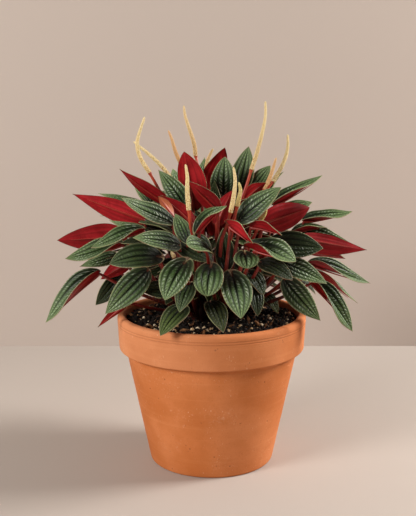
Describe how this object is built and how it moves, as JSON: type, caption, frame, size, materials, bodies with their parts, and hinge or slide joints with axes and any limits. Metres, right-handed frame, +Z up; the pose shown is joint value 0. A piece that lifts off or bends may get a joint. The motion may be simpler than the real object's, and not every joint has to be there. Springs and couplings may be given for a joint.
{
  "type": "potted ripple-leaf peperomia",
  "caption": "Small house plant with rippled dark green and crimson leaves and slim cream flower spikes, growing in a plain round terracotta pot.",
  "frame": {"origin": "centre of the pot's foot, in the plane that it stands on", "axes": "+Z up along the pot's axis, -Y towards the front of the plant as pictured, +X to its right"},
  "size_m": [0.2203, 0.1783, 0.2474],
  "materials": {
    "terracotta": "dry matte fired clay with fine pits",
    "potting_mix": "loose crumbly matte",
    "foliage": "rippled satin leaf, dark green above and crimson below",
    "flower": "fine-grained matte"
  },
  "bodies": {
    "root": {"pot": "terracotta", "soil": "potting_mix", "shoot_left": "foliage", "shoot_front_left": "foliage", "shoot_front_right": "foliage", "shoot_right": "foliage", "shoot_back_right": "foliage", "shoot_back_left": "foliage", "shoot_centre": "foliage", "flower_spike_01": "flower", "flower_spike_02": "flower", "flower_spike_03": "flower", "flower_spike_04": "flower", "flower_spike_05": "flower", "flower_spike_06": "flower", "flower_spike_07": "flower", "flower_spike_08": "flower", "flower_spike_09": "flower", "flower_spike_10": "flower", "flower_spike_11": "flower", "flower_spike_12": "flower", "flower_spike_13": "flower"}
  },
  "joints": []
}
